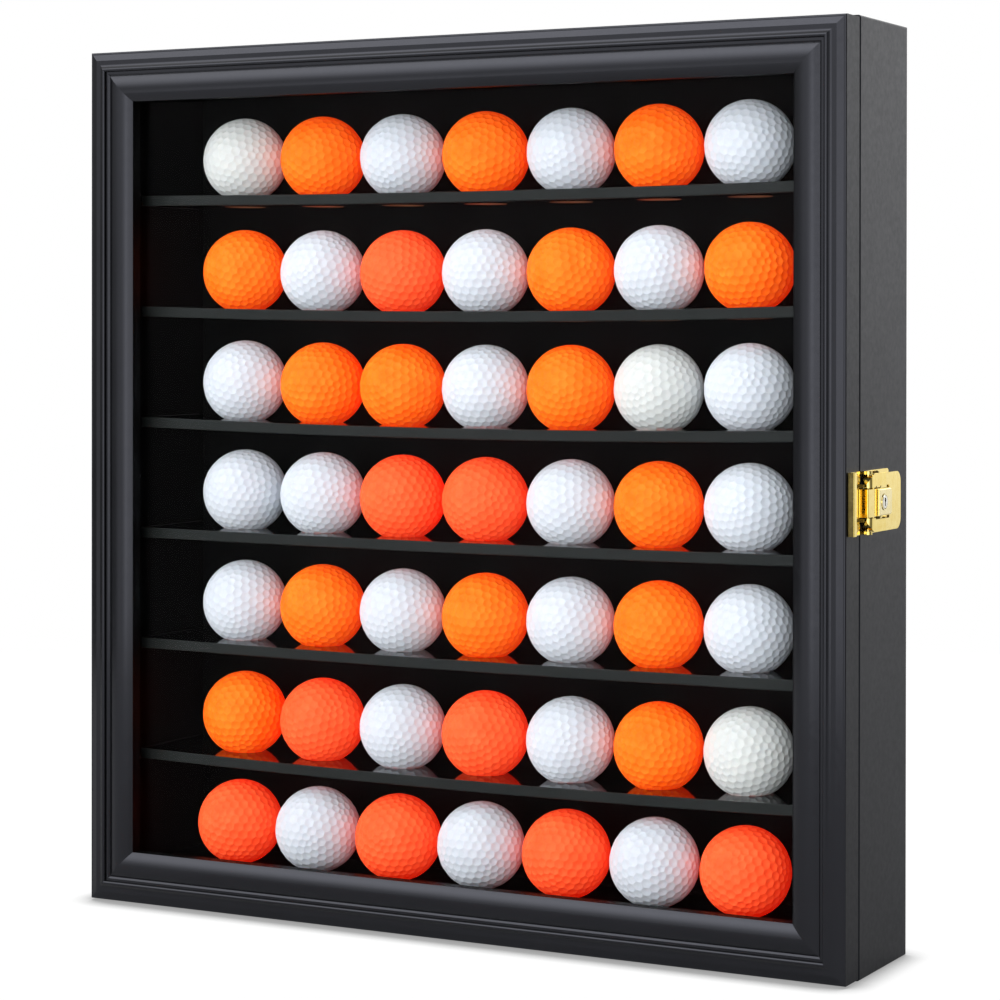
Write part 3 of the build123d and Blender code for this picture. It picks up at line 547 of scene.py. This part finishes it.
def golf_balls(places):
    draw = random.Random(BALL_SEED)
    meshes = {}
    for finish, depth in (("white", DIMPLE_DEPTH), ("grey", DIMPLE_DEPTH),
                          ("orange", COLOURED_DIMPLE_DEPTH), ("red", COLOURED_DIMPLE_DEPTH)):
        meshes[finish] = dimpled_ball(depth)
        meshes[finish].name = f"ball_{finish}"
        meshes[finish].materials.append(MATERIALS[finish])
    for (row, column), (centre, colour) in sorted(places.items()):
        finish = "grey" if (row, column) in GREYER_BALLS else colour
        piece = bpy.data.objects.new(f"ball_row{row}_col{column}", meshes[finish])
        bpy.context.scene.collection.objects.link(piece)
        drop = sag(SHELVES[-(row - 1)], centre.x) if row > 1 else 0.0
        turn = ball_turn(draw)
        piece.matrix_world = Matrix.Translation(centre - Vector((0, 0, drop))) @ turn.to_matrix().to_4x4()
        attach(piece, "cabinet")
        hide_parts(BALL_NODES[colour])


# ---------------------------------------------------------------- stage
def place_camera():
    forward = Vector((-math.sin(CAMERA_YAW) * math.cos(CAMERA_PITCH),
                      math.cos(CAMERA_YAW) * math.cos(CAMERA_PITCH), math.sin(CAMERA_PITCH)))
    level = Vector((math.cos(CAMERA_YAW), math.sin(CAMERA_YAW), 0))
    down = forward.cross(level)
    right = math.cos(CAMERA_ROLL) * level + math.sin(CAMERA_ROLL) * down
    up = right.cross(forward)
    camera = bpy.data.objects.new("camera", bpy.data.cameras.new("camera"))
    bpy.context.scene.collection.objects.link(camera)
    camera.matrix_world = Matrix.Translation(CAMERA_PLACE) @ Matrix(
        (right, up, -forward)).transposed().to_4x4()
    camera.data.sensor_width = SENSOR
    camera.data.lens = FOCAL_PIXELS * SENSOR / FRAME_PIXELS
    camera.data.shift_y = (CENTRE_ROW - FRAME_PIXELS / 2) / FRAME_PIXELS
    camera.data.clip_start = 0.01
    bpy.context.scene.camera = camera


def toward(azimuth, elevation):
    """The direction at azimuth, from -Y towards +X, and elevation, both in degrees."""
    turn, rise = math.radians(azimuth), math.radians(elevation)
    return Vector((math.sin(turn) * math.cos(rise), -math.cos(turn) * math.cos(rise), math.sin(rise)))


def softbox(name, azimuth, elevation, distance, width, height, radiance, mirrored=True):
    """A soft lamp that looks at the case's middle."""
    away = toward(azimuth, elevation)
    lamp = bpy.data.lights.new(name, "AREA")
    lamp.shape = "RECTANGLE"
    lamp.size = width
    lamp.size_y = height
    lamp.energy = radiance * math.pi * width * height
    holder = bpy.data.objects.new(name, lamp)
    bpy.context.scene.collection.objects.link(holder)
    holder.location = Vector((0, 0, MIDDLE_HEIGHT)) + away * distance
    holder.rotation_euler = away.to_track_quat("Z", "Y").to_euler()
    holder.visible_camera = False
    holder.visible_glossy = mirrored


def place_lamps():
    softbox("key_softbox", *KEY_SOFTBOX, mirrored=False)
    softbox("rear_softbox", *REAR_SOFTBOX)


def glow(tree, direction, azimuth, elevation, sharpness, peak):
    """A soft round light in the world, brightest at one direction."""
    along = tree.nodes.new("ShaderNodeVectorMath")
    along.operation = "DOT_PRODUCT"
    along.inputs[1].default_value = toward(azimuth, elevation)
    tree.links.new(direction, along.inputs[0])
    power = tree.nodes.new("ShaderNodeMath")
    power.operation = "POWER"
    tree.links.new(spread(tree, along.outputs["Value"], 0.0, 1.0, 0.0, 1.0), power.inputs[0])
    power.inputs[1].default_value = sharpness
    return spread(tree, power.outputs["Value"], 0.0, peak, 0.0, 1.0)


def total(tree, first, second):
    node = tree.nodes.new("ShaderNodeMath")
    node.operation = "ADD"
    tree.links.new(first, node.inputs[0])
    tree.links.new(second, node.inputs[1])
    return node.outputs["Value"]


def place_world():
    """White to the camera. Elsewhere bright behind the case, with three soft glows in front."""
    world = bpy.data.worlds.new("studio")
    bpy.context.scene.world = world
    world.use_nodes = True
    tree = world.node_tree
    background = tree.nodes["Background"]
    path = tree.nodes.new("ShaderNodeLightPath")
    coordinates = tree.nodes.new("ShaderNodeTexCoord")
    direction = coordinates.outputs["Generated"]
    split = tree.nodes.new("ShaderNodeSeparateXYZ")
    tree.links.new(direction, split.inputs["Vector"])
    aside, back, height = split.outputs

    above_floor = product(tree, spread(tree, height, low=0.61, high=1.35, start=-0.12, end=0.03),
                          spread(tree, height, low=1.0, high=1.45, start=-0.02, end=0.15))
    behind = product(tree, spread(tree, back, low=0.12, high=1.0, start=0.25, end=0.8), above_floor)
    high = product(tree, glow(tree, direction, *HIGH_GLOW),
                   spread(tree, height, low=0.6, high=1.0, start=0.0, end=0.3))
    low = glow(tree, direction, *LOW_GLOW)
    band = product(tree, spread(tree, height, low=0.0, high=1.0, start=-0.3, end=-0.1),
                   product(tree, spread(tree, height, low=1.0, high=0.0, start=0.12, end=0.24),
                           spread(tree, aside, low=1.0, high=0.6, start=0.14, end=0.33)))
    level = product(tree, glow(tree, direction, *LEVEL_GLOW), band)
    around = total(tree, total(tree, behind, low), total(tree, high, level))

    white = tree.nodes.new("ShaderNodeMix")
    white.data_type = "FLOAT"
    white.inputs["B"].default_value = 1.0
    tree.links.new(path.outputs["Is Camera Ray"], white.inputs["Factor"])
    tree.links.new(around, white.inputs["A"])
    tree.links.new(white.outputs["Result"], background.inputs["Strength"])
    background.inputs["Color"].default_value = (1, 1, 1, 1)


def place_floor():
    """A round white floor that shows little more than the case's shadow: a painted contact shadow in its even
    white, and a little of its lit shade.
    """
    bm = bmesh.new()
    bmesh.ops.create_circle(bm, cap_ends=True, segments=96, radius=FLOOR_RADIUS)
    mesh = bpy.data.meshes.new("floor")
    bm.to_mesh(mesh)
    bm.free()
    material, tree, shader = new_material("floor_paper", Roughness=0.9)
    shader.inputs["Base Color"].default_value = (FLOOR_GREY, FLOOR_GREY, FLOOR_GREY, 1)
    even = tree.nodes.new("ShaderNodeEmission")
    # Painted shadow: the floor's even white darkens where an occlusion test finds the case close by
    painted_shadow_occlusion = tree.nodes.new("ShaderNodeAmbientOcclusion")
    painted_shadow_occlusion.inputs["Distance"].default_value = CONTACT_SHADOW
    painted_shadow_strength = spread(tree, painted_shadow_occlusion.outputs["AO"], low=0.42, high=1.15, start=0.5, end=0.98)
    tree.links.new(painted_shadow_strength, even.inputs["Strength"])
    path = tree.nodes.new("ShaderNodeLightPath")
    share = spread(tree, path.outputs["Is Camera Ray"], 0.0, FLOOR_WHITENESS, 0.0, 1.0)
    mix = tree.nodes.new("ShaderNodeMixShader")
    tree.links.new(share, mix.inputs["Fac"])
    tree.links.new(shader.outputs["BSDF"], mix.inputs[1])
    tree.links.new(even.outputs["Emission"], mix.inputs[2])
    tree.links.new(mix.outputs["Shader"], tree.nodes["Material Output"].inputs["Surface"])
    new_object("floor", mesh, material)


# ---------------------------------------------------------------- build
bpy.context.scene.view_settings.view_transform = "Standard"
finish_cad_nodes()
paint_faces()
places = ball_places()
column_xs = sorted({centre.x for (row, column), (centre, colour) in places.items() if row == COLUMNS})
seat_line = places[COLUMNS, 1][0].y
for shelf in SHELVES:
    sagging_shelf(shelf, column_xs, seat_line)
golf_balls(places)
place_camera()
place_lamps()
place_world()
place_floor()
